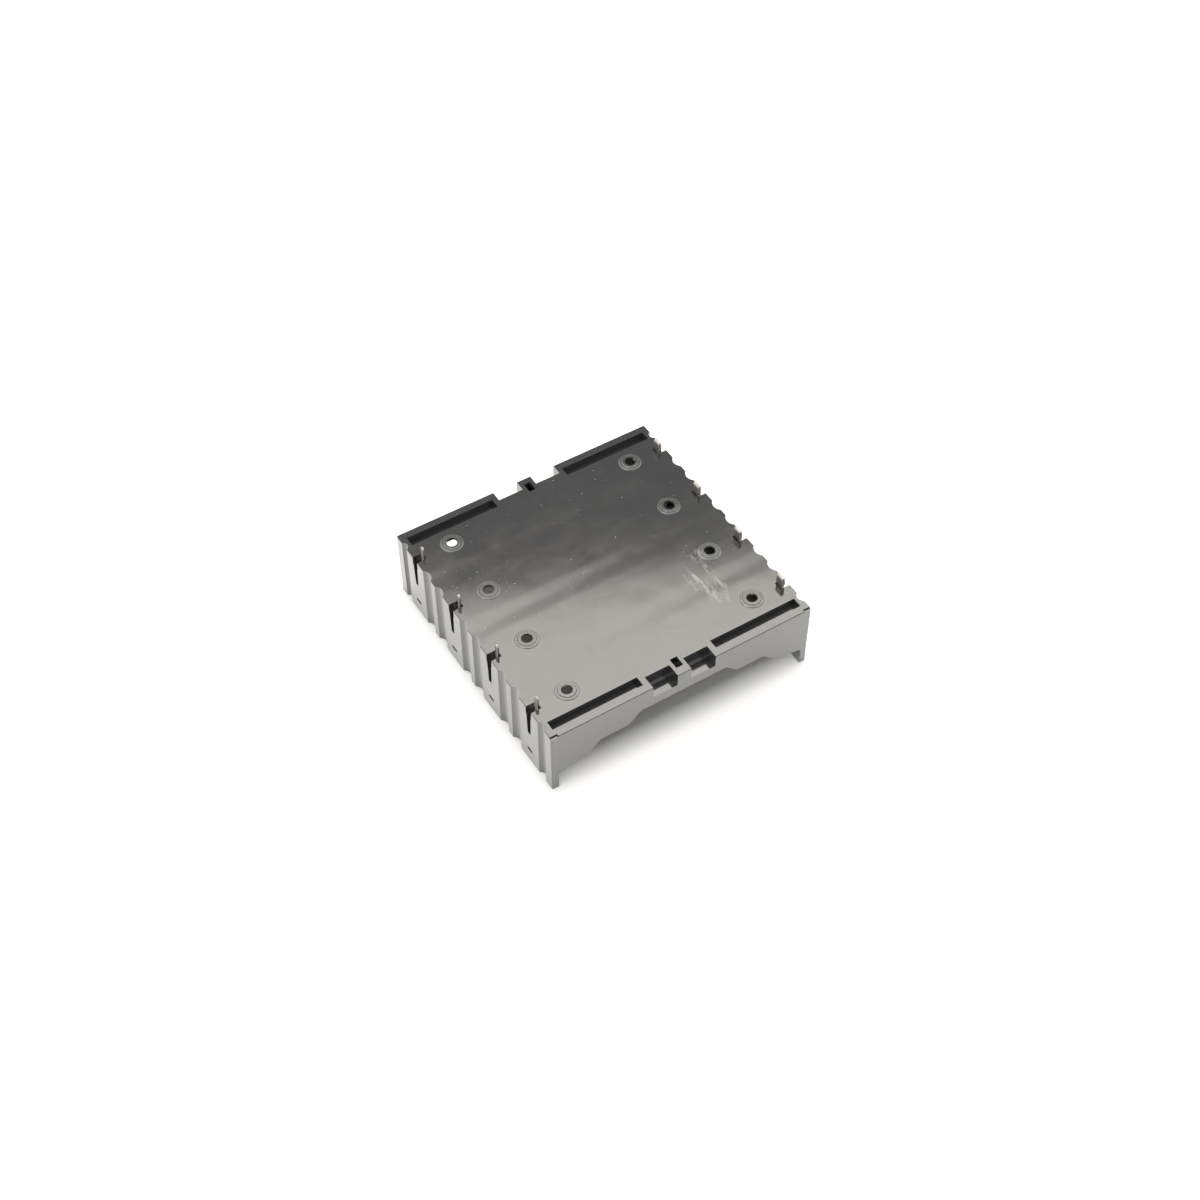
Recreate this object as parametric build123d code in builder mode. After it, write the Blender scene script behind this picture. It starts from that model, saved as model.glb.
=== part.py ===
from build123d import *
from math import sqrt
import os

os.makedirs("parts", exist_ok=True)

# Four-bay holder for cylindrical cells, lying on its rims: mounting plate up, solder pins up.
# X runs along the cells, Z is up, and z = 0 is the plane of the rims.

# cells
cell_diameter = 18.4
cell_length = 65.0
cell_count = 4
cell_pitch = 19.28
cell_clearance = 0.1

# room left for a spring contact beyond each end of the cell
contact_space = 4.25

# walls of the moulding: the front wall is the thicker of the two side walls
body_height = 21.0
floor_thickness = 1.5
front_wall = 1.48
back_wall = 0.88
end_wall = 2.3
cradle_skin = 0.9
ridge_depth = 5.0
corner_radius = 0.5
plate_edge_chamfer = 0.15

# dividers that part the bays at the end walls
divider_width = 2.0
divider_reach = 3.6
divider_setback = 1.2

# long core-outs in the plate over both side walls
slot_length = 26.1
slot_width = 2.9
slot_wall = 2.2
slot_end_wall = 1.95
slot_depth = 2.1

# middle of the back wall: relief, keyed tab and its hole
relief_length = 19.0
relief_depth = 3.3
relief_drop = 5.2
tab_width = 4.2
tab_hole_length = 1.85
tab_hole_width = 3.1
tab_hole_wall = 1.85

# middle of the front wall: square hole between two pockets open to the front
pocket_length = 7.3
pocket_depth = 4.05
pocket_centre_x = 5.7
pocket_drop = 3.7
square_hole = 2.1
square_hole_wall = 2.3

# small nicks in the plate's edge at the two front corners
nick_length = 2.2
nick_width = 0.8
nick_depth = 0.45

# finger cut-out in each side wall, as half lengths and rim heights
post_width = 2.0
step_height = 5.7
low_half_length = 29.2
low_height = 6.9
shoulder_half_length = 24.6
shoulder_height = 11.0
waist_half_length = 16.4
crest_half_length = 13.0
crest_height = 14.3
cutout_radius = 1.2

# scooped grooves down the end walls
panel_width = 8.8
rib_width = 2.1
corner_strip = 3.1
groove_depth = 1.05

# pin notch, tapered window and latch slit on the line of every cell
notch_width = 2.5
notch_inset = 3.05
notch_depth = 2.6
window_top = 2.3
window_bottom = 1.3
window_height = 9.8
slit_width = 2.4
slit_height = 0.9
slit_level = 4.0

# mounting holes, each in a collar on a low disc
hole_diameter = 3.0
hole_spacing = 55.8
disc_diameter = 6.3
disc_height = 0.22
collar_diameter = 4.9
collar_height = 0.5
ring_slope = 0.18
screw_head = 6.0
screw_head_depth = 1.4

# spring contacts
strip_thickness = 0.4
strip_width = 6.4
strip_foot = 2.4
strip_head_gap = 0.5
leaf_preload = 0.6
leaf_fold = 1.3
leaf_tip_reach = 2.3
leaf_tip_drop = 2.4
latch_width = 2.0
latch_height = 0.5
latch_length = 0.8
pin_rise = 3.5
pin_width = 1.3
tag_width = 2.2
tag_depth = 1.1
tag_return_gap = 0.6

# places that follow from the sizes above
bore_radius = cell_diameter / 2 + cell_clearance
bay_span = (cell_count - 1) * cell_pitch
row_offset = (front_wall - back_wall) / 2
body_width = front_wall + bay_span + 2 * bore_radius + back_wall
half_width = body_width / 2
inner_half = cell_length / 2 + contact_space
half_length = inner_half + end_wall
body_length = 2 * half_length
axis_z = body_height - floor_thickness - bore_radius
ridge_z = body_height - floor_thickness - ridge_depth
skin_radius = bore_radius + cradle_skin
cell_rows = [row_offset + (i - (cell_count - 1) / 2) * cell_pitch for i in range(cell_count)]
gap_rows = [(a + b) / 2 for a, b in zip(cell_rows, cell_rows[1:])]
first_row = cell_rows[0]
last_row = cell_rows[-1]
middle_row = (first_row + last_row) / 2
slot_centre_x = half_length - slot_end_wall - slot_length / 2
wall_reach = half_width + 1
groove_spans = [
    (first_row - panel_width / 2, corner_strip - half_width),
    (last_row + panel_width / 2, half_width - corner_strip),
]
for row in gap_rows:
    groove_spans.append((row + rib_width / 2, row + (cell_pitch - panel_width) / 2))
    groove_spans.append((row - (cell_pitch - panel_width) / 2, row - rib_width / 2))

# pieces that sit in the plate over the side walls, cut down to the skin of the outer cradles
with BuildPart() as side_cores:
    with BuildSketch(Plane.XY.offset(body_height + 1)):
        with Locations((0, half_width - slot_wall - slot_width / 2)):
            with GridLocations(2 * slot_centre_x, 1, 2, 1):
                Rectangle(slot_length, slot_width)
        with Locations((0, -half_width + slot_wall + slot_width / 2)):
            with GridLocations(2 * slot_centre_x, 1, 2, 1):
                Rectangle(slot_length, slot_width)
    extrude(amount=-(slot_depth + 1))
    with BuildSketch(Plane.XY.offset(body_height + 1)):
        with Locations((0, -half_width)):
            with GridLocations(2 * pocket_centre_x, 1, 2, 1):
                Rectangle(pocket_length, 2 * pocket_depth)
    extrude(amount=-(pocket_drop + 1))
    with BuildSketch(Plane.XY.offset(body_height + 1)):
        with Locations((0, half_width - relief_depth)):
            Rectangle(relief_length, relief_depth + 1, align=(Align.CENTER, Align.MIN))
        with Locations((0, half_width)):
            Rectangle(tab_width, 2 * relief_depth + 2, mode=Mode.SUBTRACT)
        with Locations((0, half_width - tab_hole_wall)):
            Rectangle(tab_hole_length, tab_hole_width, align=(Align.CENTER, Align.MAX))
        with Locations((0, square_hole_wall - half_width)):
            Rectangle(square_hole, square_hole + 1, align=(Align.CENTER, Align.MIN))
    extrude(amount=-(relief_drop + 1))
    with BuildSketch(Plane.YZ):
        with Locations((first_row, axis_z), (last_row, axis_z)):
            Circle(skin_radius)
    extrude(amount=body_length, both=True, mode=Mode.SUBTRACT)

# one screw hole with its countersink seen from the bay
with BuildPart() as screw_hole:
    with BuildSketch(Plane.XZ):
        with BuildLine():
            Polyline(
                (0, axis_z),
                (screw_head / 2, axis_z),
                (screw_head / 2, body_height - floor_thickness),
                (hole_diameter / 2, body_height - floor_thickness + screw_head_depth),
                (hole_diameter / 2, body_height + collar_height + 1),
                (0, body_height + collar_height + 1),
                close=True,
            )
        make_face()
    revolve(axis=Axis.Z)

# low disc and collar that stand on the plate round a screw hole
with BuildPart() as collar:
    with BuildSketch(Plane.XZ):
        with BuildLine():
            Polyline(
                (0, body_height - floor_thickness / 2),
                (disc_diameter / 2, body_height - floor_thickness / 2),
                (disc_diameter / 2, body_height),
                (disc_diameter / 2 - ring_slope, body_height + disc_height),
                (collar_diameter / 2, body_height + disc_height),
                (collar_diameter / 2 - ring_slope, body_height + collar_height),
                (0, body_height + collar_height),
                close=True,
            )
        make_face()
    revolve(axis=Axis.Z)

# finger cut-outs, one through each side wall
with BuildPart() as finger_cut:
    with BuildSketch(Plane.XZ) as cutout:
        with BuildLine():
            Polyline(
                (-half_length + post_width, -1),
                (-half_length + post_width, step_height),
                (-low_half_length, low_height),
                (-shoulder_half_length, shoulder_height),
                (-waist_half_length, shoulder_height),
                (-crest_half_length, crest_height),
                (crest_half_length, crest_height),
                (waist_half_length, shoulder_height),
                (shoulder_half_length, shoulder_height),
                (low_half_length, low_height),
                (half_length - post_width, step_height),
                (half_length - post_width, -1),
                close=True,
            )
        make_face()
        fillet(cutout.vertices().sort_by(Axis.Y)[2:], radius=cutout_radius)
    extrude(amount=wall_reach, both=True)
    with BuildSketch():
        Rectangle(body_length, bay_span)
    extrude(amount=body_height, mode=Mode.SUBTRACT)

# tapered window and latch slit on the line of every cell, through the end walls alone
with BuildPart() as end_windows:
    with BuildSketch(Plane.YZ):
        for row in cell_rows:
            with BuildLine():
                Polyline(
                    (row - window_top / 2, body_height + 1),
                    (row - window_top / 2, body_height),
                    (row - window_bottom / 2, body_height - window_height),
                    (row + window_bottom / 2, body_height - window_height),
                    (row + window_top / 2, body_height),
                    (row + window_top / 2, body_height + 1),
                    close=True,
                )
            make_face()
            with Locations((row, slit_level)):
                Rectangle(slit_width, slit_height, align=(Align.CENTER, Align.MIN))
    extrude(amount=half_length + 1, both=True)
    with BuildSketch():
        Rectangle(2 * inner_half, body_width)
    extrude(amount=body_height + 2, mode=Mode.SUBTRACT)

with BuildPart() as holder_body:
    # outer block
    with BuildSketch():
        RectangleRounded(body_length, body_width, corner_radius)
    extrude(amount=body_height)
    chamfer(holder_body.faces().sort_by(Axis.Z)[-1].edges(), length=plate_edge_chamfer)

    # four cradles joined below their ridges
    with BuildSketch(Plane.YZ):
        with Locations(*[(row, axis_z) for row in cell_rows]):
            Circle(bore_radius)
        with Locations((middle_row, 0)):
            Rectangle(bay_span, ridge_z, align=(Align.CENTER, Align.MIN))
            Rectangle(bay_span + 2 * bore_radius, axis_z, align=(Align.CENTER, Align.MIN))
    extrude(amount=inner_half, both=True, mode=Mode.SUBTRACT)

    # dividers at both ends of the bays
    with BuildSketch(Plane.XY.offset(divider_setback)):
        for row in gap_rows:
            with Locations((inner_half, row), (-inner_half, row)):
                Rectangle(2 * divider_reach, divider_width)
        with Locations((0, 0)):
            RectangleRounded(body_length, body_width, corner_radius, mode=Mode.INTERSECT)
    extrude(amount=body_height - floor_thickness - divider_setback)

    # mounting holes: disc and collar on the plate, countersink in the bay
    for row in cell_rows:
        with Locations((hole_spacing / 2, row, 0), (-hole_spacing / 2, row, 0)):
            add(collar.part)
            add(screw_hole.part, mode=Mode.SUBTRACT)

    # core-outs, relief and pockets over the side walls
    add(side_cores.part, mode=Mode.SUBTRACT)

    # finger cut-outs
    add(finger_cut.part, mode=Mode.SUBTRACT)

    # scoops between the flat panels of the end walls
    with BuildSketch():
        for near, far in groove_spans:
            scoop = ((far - near) ** 2 / 4 + groove_depth**2) / (2 * groove_depth)
            scoop_x = half_length + scoop - groove_depth
            with Locations((scoop_x, (near + far) / 2), (-scoop_x, (near + far) / 2)):
                Circle(scoop)
    extrude(amount=body_height, mode=Mode.SUBTRACT)

    # nicks at the front corners of the plate
    with BuildSketch(Plane.XY.offset(body_height)):
        with Locations((half_length, -half_width), (-half_length, -half_width)):
            Rectangle(2 * nick_length, 2 * nick_width)
    extrude(amount=-nick_depth, mode=Mode.SUBTRACT)

    # notch in the plate, tapered window and latch slit at both ends of every cell
    with BuildSketch(Plane.XY.offset(body_height)):
        for row in cell_rows:
            with Locations((half_length, row), (-half_length, row)):
                Rectangle(2 * notch_inset, notch_width)
    extrude(amount=-notch_depth, mode=Mode.SUBTRACT)
    add(end_windows.part, mode=Mode.SUBTRACT)

holder_body.part.label = "holder_body"
export_step(holder_body.part, "parts/holder_body.step")


# contacts: back plate against the end wall, folded at the rim into a bowed leaf, tail out through the notch
leaf_face = cell_length / 2 - leaf_preload
leaf_reach = inner_half - leaf_face
strip_top = axis_z + sqrt(bore_radius**2 - (strip_width / 2) ** 2) - strip_head_gap
half_strip = strip_thickness / 2
tag_top = body_height + pin_rise

for side, side_name in ((-1, "left"), (1, "right")):
    for number, row in enumerate(cell_rows, start=1):
        wall_x = side * inner_half
        # drawn in the plane of the cell axis, from the wall inward
        with BuildPart() as contact:
            with BuildSketch(Plane.XZ.offset(-row)):
                with BuildLine():
                    spine = FilletPolyline(
                        (wall_x - side * half_strip, strip_top),
                        (wall_x - side * half_strip, strip_foot),
                        (wall_x - side * (half_strip + leaf_fold), strip_foot),
                        (wall_x - side * (leaf_reach - half_strip), axis_z),
                        (wall_x - side * leaf_tip_reach, strip_top - leaf_tip_drop),
                        radius=[leaf_fold / 3, leaf_fold / 3, leaf_fold * 2],
                    )
                trace(spine, line_width=strip_thickness)
            extrude(amount=strip_width / 2, both=True)
            # latch in the slit of the wall
            with BuildSketch(Plane.XY.offset(slit_level + (slit_height - latch_height) / 2)):
                with Locations((wall_x, row)):
                    Rectangle(2 * latch_length, latch_width)
                with Locations((wall_x - side * (strip_thickness + latch_length), row)):
                    Rectangle(2 * latch_length, latch_width, mode=Mode.SUBTRACT)
            extrude(amount=latch_height)
            # solder tail: a plain round-ended pin on the left, a strip folded back outward on the right
            if side < 0:
                with BuildSketch(Plane.YZ.offset(wall_x - side * half_strip)):
                    with Locations((row, strip_top - strip_thickness)):
                        Rectangle(
                            pin_width,
                            tag_top - pin_width / 2 - strip_top + strip_thickness,
                            align=(Align.CENTER, Align.MIN),
                        )
                    with Locations((row, tag_top - pin_width / 2)):
                        Circle(pin_width / 2)
                extrude(amount=half_strip, both=True)
            else:
                with BuildSketch(Plane.XZ.offset(-row)):
                    with BuildLine():
                        tail = FilletPolyline(
                            (wall_x - side * half_strip, strip_top - strip_thickness),
                            (wall_x - side * half_strip, tag_top - half_strip),
                            (wall_x + side * (tag_depth - 3 * half_strip), tag_top - half_strip),
                            (wall_x + side * (tag_depth - 3 * half_strip), body_height + tag_return_gap),
                            radius=(tag_depth - strip_thickness) / 2 - 0.01,
                        )
                    trace(tail, line_width=strip_thickness)
                extrude(amount=tag_width / 2, both=True)
        contact.part.label = f"{side_name}_contact_{number}"
        export_step(contact.part, f"parts/{side_name}_contact_{number}.step")
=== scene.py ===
import math

import bpy
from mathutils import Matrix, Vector

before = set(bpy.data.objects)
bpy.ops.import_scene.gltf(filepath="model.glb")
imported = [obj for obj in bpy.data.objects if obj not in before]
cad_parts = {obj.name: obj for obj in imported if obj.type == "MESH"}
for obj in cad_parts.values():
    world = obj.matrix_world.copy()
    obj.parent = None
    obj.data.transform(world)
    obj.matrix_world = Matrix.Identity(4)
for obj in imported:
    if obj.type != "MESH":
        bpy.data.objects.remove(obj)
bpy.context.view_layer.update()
print("frame loaded:", len(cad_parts), "nodes")


# shader helpers: each adds its nodes to one material and returns the last output

def newMaterial(name):
    material = bpy.data.materials.new(name)
    material.use_nodes = True
    nodes = material.node_tree.nodes
    shader = nodes["Principled BSDF"]
    where = nodes.new("ShaderNodeTexCoord")
    return material, nodes, material.node_tree.links, shader, where


def mapped(nodes, links, where, scale=(1, 1, 1), shift=(0, 0, 0)):
    mapping = nodes.new("ShaderNodeMapping")
    mapping.inputs["Scale"].default_value = scale
    mapping.inputs["Location"].default_value = shift
    links.new(where.outputs["Object"], mapping.inputs["Vector"])
    return mapping.outputs["Vector"]


def boxed(nodes, links, where, size, place=(0, 0, 0), turn=0.0):
    # coordinates counted in box sizes from the middle of a turned box
    mapping = nodes.new("ShaderNodeMapping")
    mapping.vector_type = "TEXTURE"
    mapping.inputs["Location"].default_value = place
    mapping.inputs["Rotation"].default_value = (0, 0, turn)
    mapping.inputs["Scale"].default_value = size
    links.new(where.outputs["Object"], mapping.inputs["Vector"])
    return mapping.outputs["Vector"]


def noise(nodes, links, vector, scale, detail=3.0, rough=0.5, distortion=0.0):
    texture = nodes.new("ShaderNodeTexNoise")
    texture.inputs["Scale"].default_value = scale
    texture.inputs["Detail"].default_value = detail
    texture.inputs["Roughness"].default_value = rough
    texture.inputs["Distortion"].default_value = distortion
    links.new(vector, texture.inputs["Vector"])
    return texture.outputs["Fac"]


def ramp(nodes, links, value, low, high, start=0.0, end=1.0):
    span = nodes.new("ShaderNodeMapRange")
    span.inputs["From Min"].default_value = low
    span.inputs["From Max"].default_value = high
    span.inputs["To Min"].default_value = start
    span.inputs["To Max"].default_value = end
    links.new(value, span.inputs["Value"])
    return span.outputs["Result"]


def combine(nodes, links, operation, first, second=0):
    step = nodes.new("ShaderNodeMath")
    step.operation = operation
    for socket, value in zip(step.inputs, (first, second)):
        if isinstance(value, (int, float)):
            socket.default_value = value
        else:
            links.new(value, socket)
    return step.outputs["Value"]


def blendColour(nodes, links, factor, first, second):
    mix = nodes.new("ShaderNodeMix")
    mix.data_type = "RGBA"
    links.new(factor, mix.inputs["Factor"])
    for socket, value in ((mix.inputs["A"], first), (mix.inputs["B"], second)):
        if isinstance(value, tuple):
            socket.default_value = (*value, 1)
        else:
            links.new(value, socket)
    return mix.outputs["Result"]


def bump(nodes, links, height, strength, distance, under=None):
    relief = nodes.new("ShaderNodeBump")
    relief.inputs["Strength"].default_value = strength
    relief.inputs["Distance"].default_value = distance
    links.new(height, relief.inputs["Height"])
    if under is not None:
        links.new(under, relief.inputs["Normal"])
    return relief.outputs["Normal"]


def patch(nodes, links, where, centre, halfSize, inner):
    # 0 outside an ellipsoid, 1 within its inner part
    length = nodes.new("ShaderNodeVectorMath")
    length.operation = "LENGTH"
    links.new(boxed(nodes, links, where, halfSize, centre), length.inputs[0])
    return ramp(nodes, links, length.outputs["Value"], 1.0, inner)


def streaks(nodes, links, where, size, turn, low, high, detail=3.0):
    # size is how wide and how long one streak is
    grain = noise(nodes, links, boxed(nodes, links, where, size, turn=turn), 1.0, detail, 0.6)
    return ramp(nodes, links, grain, low, high)


# glossy black moulding: sink bands over the ridges, rounded rims round the screw holes,
# dust, smudges, a scuffed patch and hairline scratches; lengths in metres

moulding = {
    "colour": (0.034, 0.034, 0.035),
    "paleColour": (0.046, 0.046, 0.045),
    "flowScale": 26,  # clouds of the two colours, per metre
    "roughness": 0.075,
    "smudgeRoughness": 0.15,
    "smudgeScale": 85,
    "ior": 1.9,
    "coatIor": 1.6,
    "coatRoughness": 0.12,
    "plateLevel": 0.0209,  # marks are kept to the plate above this height
    "cellPitch": 0.01928,
    "rowShift": 0.0003,
    "sinkHalfWidth": 0.0042,
    "sinkDepth": 0.00002,
    "waveScale": 42,
    "waveStrength": 0.2,
    "waveHeight": 0.0004,
    "skinScale": 1900,
    "skinStrength": 0.05,
    "skinHeight": 0.00001,
    "holeReach": 0.0279,  # screw holes from the middle, along the cells
    "collarRim": 0.00222,
    "discRim": 0.00290,
    "discReach": 0.0034,
    "discRoughness": 0.10,
    "rimHalfWidth": 0.00007,
    "rimHeight": 0.00009,
    "rimStrength": 0.28,
    # pale rims round the screw holes: partly wear, partly a painted highlight on the rounded edges
    "wearAndHighlightColour": (0.20, 0.20, 0.19),
    "collarWearAndHighlight": 0.00020,
    "discWearAndHighlight": 0.00024,
    "dustColour": (0.46, 0.46, 0.44),
    "dustRoughness": 0.8,
    "dustDensity": 560,  # places for a dot, per metre
    "dustLargest": 0.11,  # radius of a dot, as a share of its place
    "dustSizeScale": 700,
    "dustPatchScale": 48,
    "scuffColour": (0.50, 0.50, 0.48),
    "scuffCover": 0.8,
    "scuffRoughness": 0.45,
    "smearCentre": (0.0215, -0.0172, 0.021),
    "smearHalfSize": (0.0052, 0.0105, 0.004),
    "smearStreak": (0.0019, 0.0080, 0.01),
    "smearTurn": -0.10,
    "rubCentre": (0.0245, -0.0088, 0.021),
    "rubHalfSize": (0.0026, 0.0030, 0.004),
    "rubStreak": (0.0009, 0.0024, 0.01),
    "rubTurn": -0.4,
    "rubShare": 0.7,
    "hairStreak": (0.0011, 0.060, 0.01),
    "hairTurn": 0.9,
    "hairRoughness": 0.08,
    "hairPatchScale": 45,
    "markStrength": 0.4,
    "markHeight": 0.00005,
}


def ringEdge(nodes, links, radius, at):
    # full height inside the ring, falling away across its rounded edge
    half = moulding["rimHalfWidth"]
    return ramp(nodes, links, radius, at - half, at + half, 1.0, 0.0)


def ringBand(nodes, links, radius, at, halfWidth):
    away = combine(nodes, links, "ABSOLUTE", combine(nodes, links, "SUBTRACT", radius, at))
    return ramp(nodes, links, away, halfWidth, halfWidth * 0.4)


def dustDots(nodes, links, plain, onPlate):
    # small dots, thick in some places and absent in others
    dots = nodes.new("ShaderNodeTexVoronoi")
    dots.inputs["Scale"].default_value = moulding["dustDensity"]
    links.new(plain, dots.inputs["Vector"])
    sizes = noise(nodes, links, plain, moulding["dustSizeScale"], 1)
    dotSize = ramp(nodes, links, sizes, 0.38, 0.76, 0.0, moulding["dustLargest"])
    dot = combine(nodes, links, "LESS_THAN", dots.outputs["Distance"], dotSize)
    places = ramp(nodes, links, noise(nodes, links, plain, moulding["dustPatchScale"], 2), 0.32, 0.46)
    dust = combine(nodes, links, "MULTIPLY", dot, places)
    return combine(nodes, links, "MULTIPLY", dust, onPlate)


def scuffMarks(nodes, links, where, onPlate):
    # short pale smears beside one hole, and a rubbed spot against its ring
    smear = streaks(nodes, links, where, moulding["smearStreak"], moulding["smearTurn"], 0.52, 0.62)
    smearPatch = patch(nodes, links, where, moulding["smearCentre"], moulding["smearHalfSize"], 0.35)
    smear = combine(nodes, links, "MULTIPLY", smear, smearPatch)
    rub = streaks(nodes, links, where, moulding["rubStreak"], moulding["rubTurn"], 0.46, 0.62, 4.0)
    rubPatch = patch(nodes, links, where, moulding["rubCentre"], moulding["rubHalfSize"], 0.3)
    rub = combine(nodes, links, "MULTIPLY", rub, rubPatch)
    rub = combine(nodes, links, "MULTIPLY", rub, moulding["rubShare"])
    scuff = combine(nodes, links, "MAXIMUM", smear, rub)
    return combine(nodes, links, "MULTIPLY", scuff, onPlate)


def hairScratches(nodes, links, where):
    # long and faint, in a few places only
    hair = streaks(nodes, links, where, moulding["hairStreak"], moulding["hairTurn"], 0.685, 0.715, 2.0)
    moved = mapped(nodes, links, where, shift=(0.3, 0, 0))
    places = ramp(nodes, links, noise(nodes, links, moved, moulding["hairPatchScale"], 1), 0.5, 0.62)
    return combine(nodes, links, "MULTIPLY", hair, places)


def blackMoulding():
    material, nodes, links, shader, where = newMaterial("blackMoulding")
    plain = mapped(nodes, links, where)
    place = nodes.new("ShaderNodeSeparateXYZ")
    links.new(where.outputs["Object"], place.inputs["Vector"])
    onPlate = combine(nodes, links, "GREATER_THAN", place.outputs["Z"], moulding["plateLevel"])

    # distance from the nearest ridge line, and from the nearest screw hole
    halfPitch = moulding["cellPitch"] / 2
    across = combine(nodes, links, "SUBTRACT", place.outputs["Y"], moulding["rowShift"])
    fromRidge = combine(nodes, links, "PINGPONG", across, halfPitch)
    fromRow = combine(nodes, links, "SUBTRACT", halfPitch, fromRidge)
    along = combine(nodes, links, "ABSOLUTE", place.outputs["X"])
    fromHole = combine(nodes, links, "SUBTRACT", along, moulding["holeReach"])
    squares = combine(
        nodes, links, "ADD",
        combine(nodes, links, "MULTIPLY", fromHole, fromHole),
        combine(nodes, links, "MULTIPLY", fromRow, fromRow),
    )
    radius = combine(nodes, links, "SQRT", squares)

    flow = noise(nodes, links, plain, moulding["flowScale"], 3)
    stretched = mapped(nodes, links, where, (1, 1.6, 1))
    smudge = noise(nodes, links, stretched, moulding["smudgeScale"], 5, 0.62, 0.8)
    dust = dustDots(nodes, links, plain, onPlate)
    scuff = scuffMarks(nodes, links, where, onPlate)
    hair = hairScratches(nodes, links, where)

    # the rims of disc and collar are painted paler than the plate, unevenly: partly rubbed wear, partly
    # a painted highlight along their rounded edges
    wearAndHighlight = combine(
        nodes, links, "MAXIMUM",
        ringBand(nodes, links, radius, moulding["discRim"], moulding["discWearAndHighlight"]),
        ringBand(nodes, links, radius, moulding["collarRim"], moulding["collarWearAndHighlight"]),
    )
    wearAndHighlight = combine(nodes, links, "MULTIPLY", wearAndHighlight, onPlate)
    wearAndHighlight = combine(nodes, links, "MULTIPLY", wearAndHighlight, ramp(nodes, links, smudge, 0.3, 0.6, 0.35, 1.0))
    inDisc = ramp(nodes, links, radius, moulding["discReach"], moulding["discRim"])
    inDisc = combine(nodes, links, "MULTIPLY", onPlate, inDisc)

    colour = blendColour(nodes, links, flow, moulding["colour"], moulding["paleColour"])
    # the rims are painted paler: rubbed wear together with a painted highlight
    colour = blendColour(nodes, links, wearAndHighlight, colour, moulding["wearAndHighlightColour"])
    cover = combine(nodes, links, "MULTIPLY", scuff, moulding["scuffCover"])
    colour = blendColour(nodes, links, cover, colour, moulding["scuffColour"])
    colour = blendColour(nodes, links, dust, colour, moulding["dustColour"])
    links.new(colour, shader.inputs["Base Color"])

    gloss = ramp(nodes, links, smudge, 0.40, 0.75, moulding["roughness"], moulding["smudgeRoughness"])
    for mark, operation, amount in (
        (inDisc, "ADD", moulding["discRoughness"]),
        (scuff, "MAXIMUM", moulding["scuffRoughness"]),
        (dust, "MAXIMUM", moulding["dustRoughness"]),
        (hair, "ADD", moulding["hairRoughness"]),
    ):
        gloss = combine(nodes, links, operation, gloss, combine(nodes, links, "MULTIPLY", mark, amount))
    links.new(gloss, shader.inputs["Roughness"])

    sink = ramp(nodes, links, fromRidge, 0.0, moulding["sinkHalfWidth"])
    sink.node.interpolation_type = "SMOOTHSTEP"
    relief = bump(nodes, links, sink, 1.0, moulding["sinkDepth"])
    waves = noise(nodes, links, plain, moulding["waveScale"], 2)
    relief = bump(nodes, links, waves, moulding["waveStrength"], moulding["waveHeight"], relief)
    rims = combine(
        nodes, links, "ADD",
        ringEdge(nodes, links, radius, moulding["discRim"]),
        ringEdge(nodes, links, radius, moulding["collarRim"]),
    )
    rims = combine(nodes, links, "MULTIPLY", rims, onPlate)
    relief = bump(nodes, links, rims, moulding["rimStrength"], moulding["rimHeight"], relief)
    skin = noise(nodes, links, plain, moulding["skinScale"], 2)
    relief = bump(nodes, links, skin, moulding["skinStrength"], moulding["skinHeight"], relief)
    # scratches cut in, scuffs and dust stand out
    marks = combine(
        nodes, links, "ADD",
        combine(nodes, links, "MULTIPLY", hair, -0.3),
        combine(nodes, links, "MULTIPLY", scuff, 0.3),
    )
    marks = combine(nodes, links, "ADD", marks, combine(nodes, links, "MULTIPLY", dust, 2.0))
    relief = bump(nodes, links, marks, moulding["markStrength"], moulding["markHeight"], relief)
    links.new(relief, shader.inputs["Normal"])

    shader.inputs["IOR"].default_value = moulding["ior"]
    shader.inputs["Coat Weight"].default_value = 1.0
    shader.inputs["Coat IOR"].default_value = moulding["coatIor"]
    shader.inputs["Coat Roughness"].default_value = moulding["coatRoughness"]
    return material


# nickel-plated strip: fine rolling lines along its height and faint tarnish

plating = {
    "colour": (0.74, 0.71, 0.66),
    "tarnish": (0.50, 0.46, 0.38),
    "tarnishScale": 260,
    "roughness": 0.30,
    "tarnishRoughness": 0.46,
    "rollingScale": 3200,
    "rollingStrength": 0.25,
    "rollingHeight": 0.00002,
}


def platedStrip():
    material, nodes, links, shader, where = newMaterial("platedStrip")
    lengthwise = mapped(nodes, links, where, (1, 1, 0.04))
    rolled = noise(nodes, links, lengthwise, plating["rollingScale"], 2)
    cloud = noise(nodes, links, mapped(nodes, links, where), plating["tarnishScale"], 4, 0.6)
    tarnished = ramp(nodes, links, cloud, 0.5, 0.78)
    colour = blendColour(nodes, links, tarnished, plating["colour"], plating["tarnish"])
    links.new(colour, shader.inputs["Base Color"])
    gloss = ramp(nodes, links, cloud, 0.3, 0.75, plating["roughness"], plating["tarnishRoughness"])
    links.new(gloss, shader.inputs["Roughness"])
    relief = bump(nodes, links, rolled, plating["rollingStrength"], plating["rollingHeight"])
    links.new(relief, shader.inputs["Normal"])
    shader.inputs["Metallic"].default_value = 1
    return material


blackPlastic = blackMoulding()
nickel = platedStrip()
for name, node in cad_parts.items():
    node.data.materials.clear()
    node.data.materials.append(blackPlastic if name == "holder_body" else nickel)
print("materials set on the frame nodes")


# floor, light and camera

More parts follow.
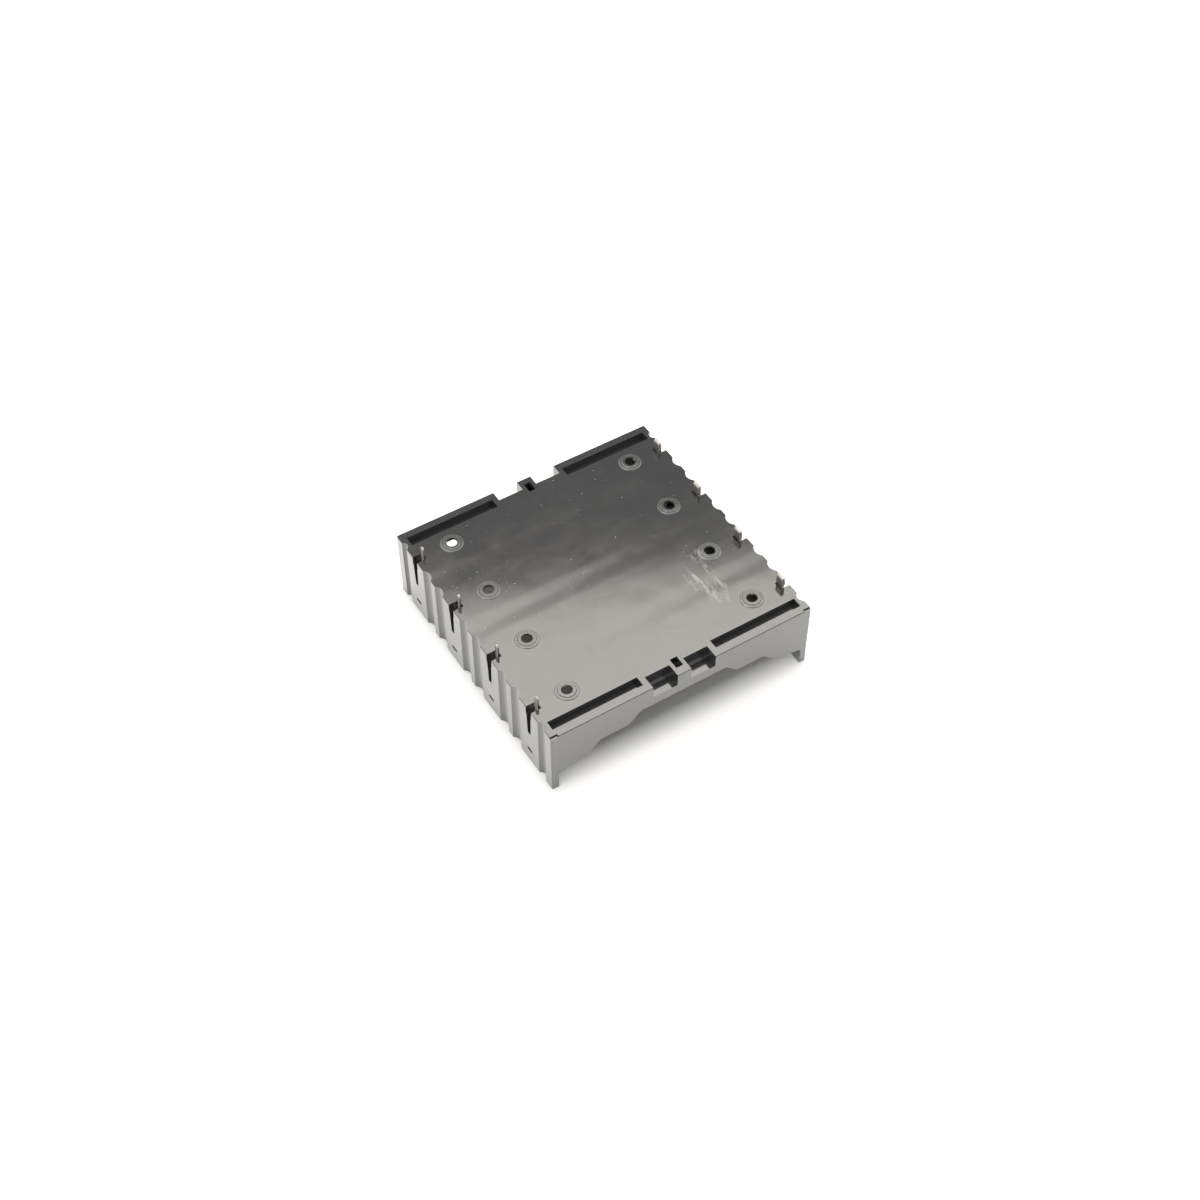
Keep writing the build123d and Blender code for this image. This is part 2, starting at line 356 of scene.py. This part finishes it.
studio = {
    "floorColour": (0.94, 0.925, 0.885),
    "floorRoughness": 0.75,
    "floorSpecular": 0.2,
    "floorSize": 30.0,
    "floorLift": 0.58,
    "shadeReach": 0.0335,  # half the side of the unlifted floor under the holder
    "shadeFade": 0.008,
    "softboxSize": (1.1, 0.84),
    "softboxPlace": (0.25, 0.335, 1.0),
    "softboxTurn": -22,
    "softboxPower": 7.0,
    "softboxColour": (1.0, 0.965, 0.885),
    "fillSize": (1.2, 0.9),
    "fillPlace": (-1.2, -0.2, 0.8),
    "fillPower": 4.0,
    "horizonLight": 0.95,
    "upperLight": 0.27,
    "horizonTop": 0.25,  # height in the sky where the light starts and stops falling
    "upperBottom": 0.6,
    "skyColour": (0.985, 0.985, 1.0),
}


def paleFloor():
    bpy.ops.object.select_all(action="DESELECT")
    bpy.ops.mesh.primitive_plane_add(size=studio["floorSize"])
    floor = bpy.context.object
    floor.name = "floor"
    material, nodes, links, shader, where = newMaterial("paleFloor")
    shader.inputs["Base Color"].default_value = (*studio["floorColour"], 1)
    shader.inputs["Roughness"].default_value = studio["floorRoughness"]
    shader.inputs["Specular IOR Level"].default_value = studio["floorSpecular"]
    glow = nodes.new("ShaderNodeEmission")
    rays = nodes.new("ShaderNodeLightPath")
    seen = combine(nodes, links, "ADD", rays.outputs["Is Camera Ray"], rays.outputs["Is Glossy Ray"])
    seen = combine(nodes, links, "ADD", seen, rays.outputs["Is Transmission Ray"])
    seen = combine(nodes, links, "MINIMUM", seen, 1.0)
    # the floor keeps its own shade under the holder and is lifted to white away from it
    place = nodes.new("ShaderNodeSeparateXYZ")
    links.new(where.outputs["Object"], place.inputs["Vector"])
    reach = combine(
        nodes, links, "MAXIMUM",
        combine(nodes, links, "ABSOLUTE", place.outputs["X"]),
        combine(nodes, links, "ABSOLUTE", place.outputs["Y"]),
    )
    fadeEnd = studio["shadeReach"] + studio["shadeFade"]
    lift = ramp(nodes, links, reach, studio["shadeReach"], fadeEnd, 0.0, studio["floorLift"])
    links.new(combine(nodes, links, "MULTIPLY", seen, lift), glow.inputs["Strength"])
    both = nodes.new("ShaderNodeAddShader")
    links.new(shader.outputs["BSDF"], both.inputs[0])
    links.new(glow.outputs["Emission"], both.inputs[1])
    links.new(both.outputs["Shader"], nodes["Material Output"].inputs["Surface"])
    floor.data.materials.append(material)


def softLight(name, size, place, power, colour=(1, 1, 1)):
    lamp = bpy.data.lights.new(name, "AREA")
    lamp.shape = "RECTANGLE"
    lamp.size, lamp.size_y = size
    lamp.energy = power
    lamp.color = colour
    holder = bpy.data.objects.new(name, lamp)
    holder.location = place
    bpy.context.scene.collection.objects.link(holder)
    return holder


def skyLight():
    world = bpy.data.worlds.new("studioSky")
    bpy.context.scene.world = world
    world.use_nodes = True
    nodes, links = world.node_tree.nodes, world.node_tree.links
    where = nodes.new("ShaderNodeTexCoord")
    parts = nodes.new("ShaderNodeSeparateXYZ")
    links.new(where.outputs["Generated"], parts.inputs["Vector"])
    strength = ramp(
        nodes, links, parts.outputs["Z"],
        studio["horizonTop"], studio["upperBottom"], studio["horizonLight"], studio["upperLight"],
    )
    links.new(strength, nodes["Background"].inputs["Strength"])
    nodes["Background"].inputs["Color"].default_value = (*studio["skyColour"], 1)


paleFloor()
softbox = softLight(
    "softbox", studio["softboxSize"], studio["softboxPlace"],
    studio["softboxPower"], studio["softboxColour"],
)
# it hangs flat, with its far edge across the view
softbox.rotation_euler.z = math.radians(studio["softboxTurn"])
fill = softLight("fill", studio["fillSize"], studio["fillPlace"], studio["fillPower"])
fill.rotation_euler = (-Vector(studio["fillPlace"])).to_track_quat("-Z", "Y").to_euler()
skyLight()

cameraSetup = {
    "azimuth": -32.22,  # degrees, seen from above
    "elevation": 49.69,
    "distance": 0.5097,
    "aim": (0.0, 0.0003, 0.00926),
    "lens": 57.72,
    "sensor": 36,
    "clipStart": 0.01,
}


def placeCamera():
    azimuth = math.radians(cameraSetup["azimuth"])
    elevation = math.radians(cameraSetup["elevation"])
    back = Vector((
        math.sin(azimuth) * math.cos(elevation),
        -math.cos(azimuth) * math.cos(elevation),
        math.sin(elevation),
    ))
    lens = bpy.data.cameras.new("camera")
    lens.lens = cameraSetup["lens"]
    lens.sensor_width = cameraSetup["sensor"]
    lens.clip_start = cameraSetup["clipStart"]
    camera = bpy.data.objects.new("camera", lens)
    camera.location = Vector(cameraSetup["aim"]) + back * cameraSetup["distance"]
    camera.rotation_euler = (-back).to_track_quat("-Z", "Y").to_euler()
    bpy.context.scene.collection.objects.link(camera)
    bpy.context.scene.camera = camera


placeCamera()
bpy.context.scene.view_settings.view_transform = "Standard"
print("studio and camera ready")
